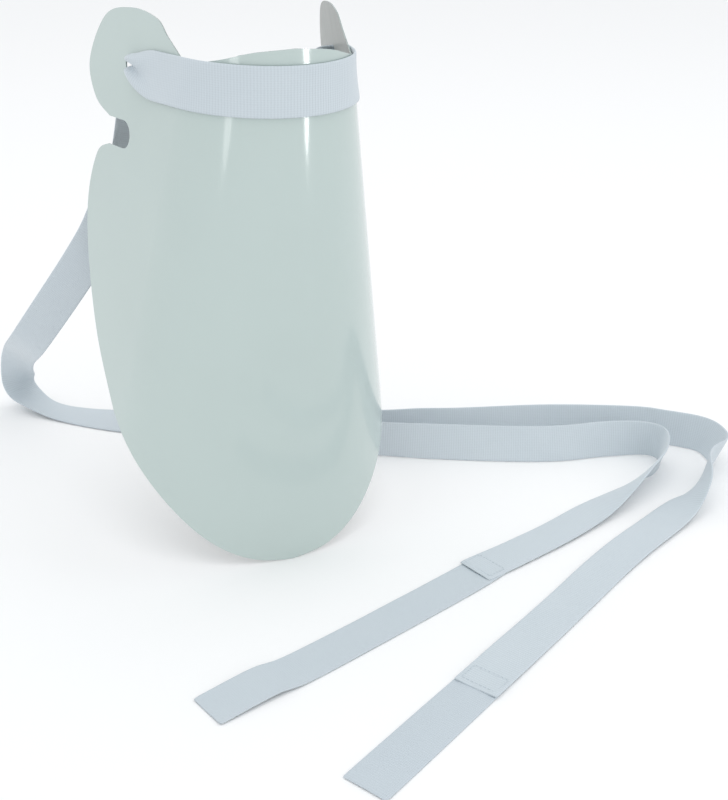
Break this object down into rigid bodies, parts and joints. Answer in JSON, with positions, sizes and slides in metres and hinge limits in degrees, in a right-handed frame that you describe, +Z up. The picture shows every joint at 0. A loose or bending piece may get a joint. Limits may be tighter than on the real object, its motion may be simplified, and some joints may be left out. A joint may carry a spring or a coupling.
{
  "type": "face shield",
  "caption": "Full-face shield: clear bent sheet with peel-off films, hung from a ribbed webbing strap with hook-and-loop tape ends.",
  "frame": {"origin": "on the sheet's mid-surface at the middle of the brow, just below the strap's middle line", "axes": "+Z up, -Y forward away from the face, +X towards the wearer's left"},
  "size_m": [0.4502, 0.5114, 0.3078],
  "materials": {
    "clear_sheet": "clear gloss PET",
    "milky_film": "milky satin film",
    "webbing": "cross-ribbed woven webbing",
    "loop_pile": "brushed nylon loops",
    "hook_pile": "moulded nylon hooks on woven tape",
    "thread": "polyester sewing thread"
  },
  "bodies": {
    "root": {"visor_sheet": "clear_sheet", "outer_film": "milky_film", "inner_film": "milky_film", "strap": "webbing", "loop_tape": "loop_pile", "hook_tape": "hook_pile", "loop_stitching": "thread", "hook_stitching": "thread"}
  },
  "joints": []
}
